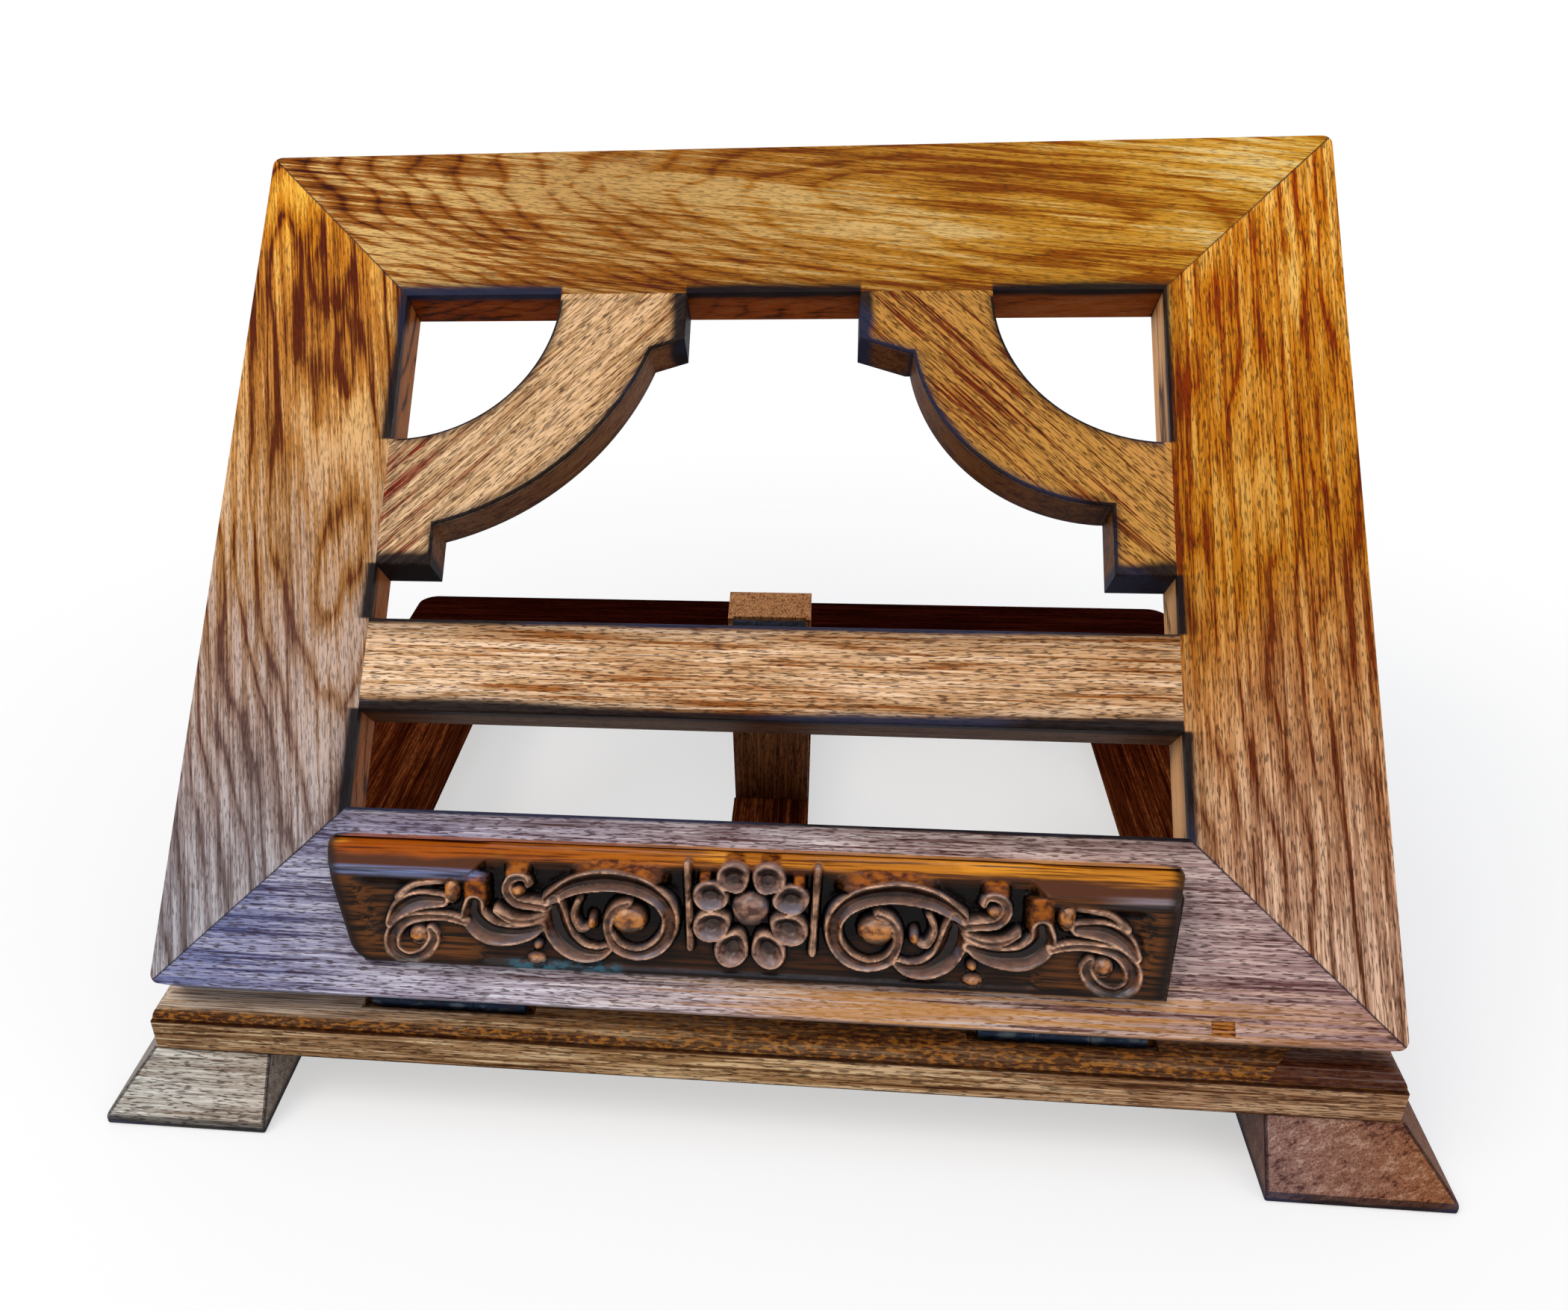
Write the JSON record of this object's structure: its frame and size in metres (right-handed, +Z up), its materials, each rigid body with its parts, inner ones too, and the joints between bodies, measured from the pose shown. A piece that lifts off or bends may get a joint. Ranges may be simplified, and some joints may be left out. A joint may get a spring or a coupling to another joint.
{
  "type": "lectern",
  "caption": "Table-top wooden lectern: a mitred book desk with pierced brackets and a carved ledge, hinged on a low footed base and held up by a folding prop leg.",
  "frame": {"origin": "on the table, under the middle of the four feet", "axes": "+X to the right of someone reading at the lectern, +Y away from them, +Z up"},
  "size_m": [0.378, 0.306, 0.2406],
  "materials": {
    "honey_wood": "satin varnish",
    "brown_wood": "satin varnish",
    "amber_wood": "satin varnish",
    "mauve_wood": "satin varnish",
    "tan_wood": "satin varnish",
    "carved_wood": "glossy dark varnish",
    "front_wood": "satin varnish",
    "patch_wood": "satin varnish",
    "dark_wood": "dark varnish",
    "pale_foot_wood": "worn varnish",
    "pink_foot_wood": "worn end grain",
    "plug_wood": "satin varnish",
    "dowel_wood": "bare",
    "blued_steel": "blued and worn",
    "screw_steel": "dull"
  },
  "bodies": {
    "base": {"front_board": "front_wood", "moulding_patch": "patch_wood", "left_side_rail": "dark_wood", "right_side_rail": "dark_wood", "rear_rail": "dark_wood", "centre_rack": "dark_wood", "rail_dowels": "dowel_wood", "front_left_foot": "pale_foot_wood", "front_right_foot": "pink_foot_wood", "rear_left_foot": "pale_foot_wood", "rear_right_foot": "pink_foot_wood", "foot_screws": "screw_steel", "left_hinge_base_leaf": "blued_steel", "left_hinge_pin": "blued_steel", "right_hinge_base_leaf": "blued_steel", "right_hinge_pin": "blued_steel", "hinge_base_screws": "screw_steel"},
    "desk": {"top_rail": "honey_wood", "left_stile": "brown_wood", "right_stile": "amber_wood", "bottom_rail": "mauve_wood", "cross_rail": "tan_wood", "left_bracket": "tan_wood", "right_bracket": "tan_wood", "book_ledge": "carved_wood", "edge_plug": "plug_wood", "mitre_splines": "dowel_wood", "bracket_dowels": "dowel_wood", "ledge_screws": "screw_steel", "left_hinge_desk_leaf": "blued_steel", "right_hinge_desk_leaf": "blued_steel", "hinge_desk_screws": "screw_steel", "prop_hinge_desk_leaf": "blued_steel", "prop_hinge_pin": "blued_steel", "prop_hinge_desk_screws": "screw_steel"},
    "prop": {"prop_leg": "dark_wood", "prop_hinge_leg_leaf": "blued_steel", "prop_hinge_leg_screws": "screw_steel"}
  },
  "joints": [
    {"name": "desk_tilt", "type": "hinge", "parent": "base", "child": "desk", "pos_m": [0, -0.1311, 0.0353], "axis": [1, 0, 0], "range_deg": [-45, 0]},
    {"name": "prop_swing", "type": "hinge", "parent": "desk", "child": "prop", "pos_m": [0.002, -0.04809, 0.11662], "axis": [1, 0, 0], "range_deg": [0, 116.5]}
  ],
  "couplings": [
    {"joint": "prop_swing", "follows": "desk_tilt", "ratio": -2.5867}
  ]
}
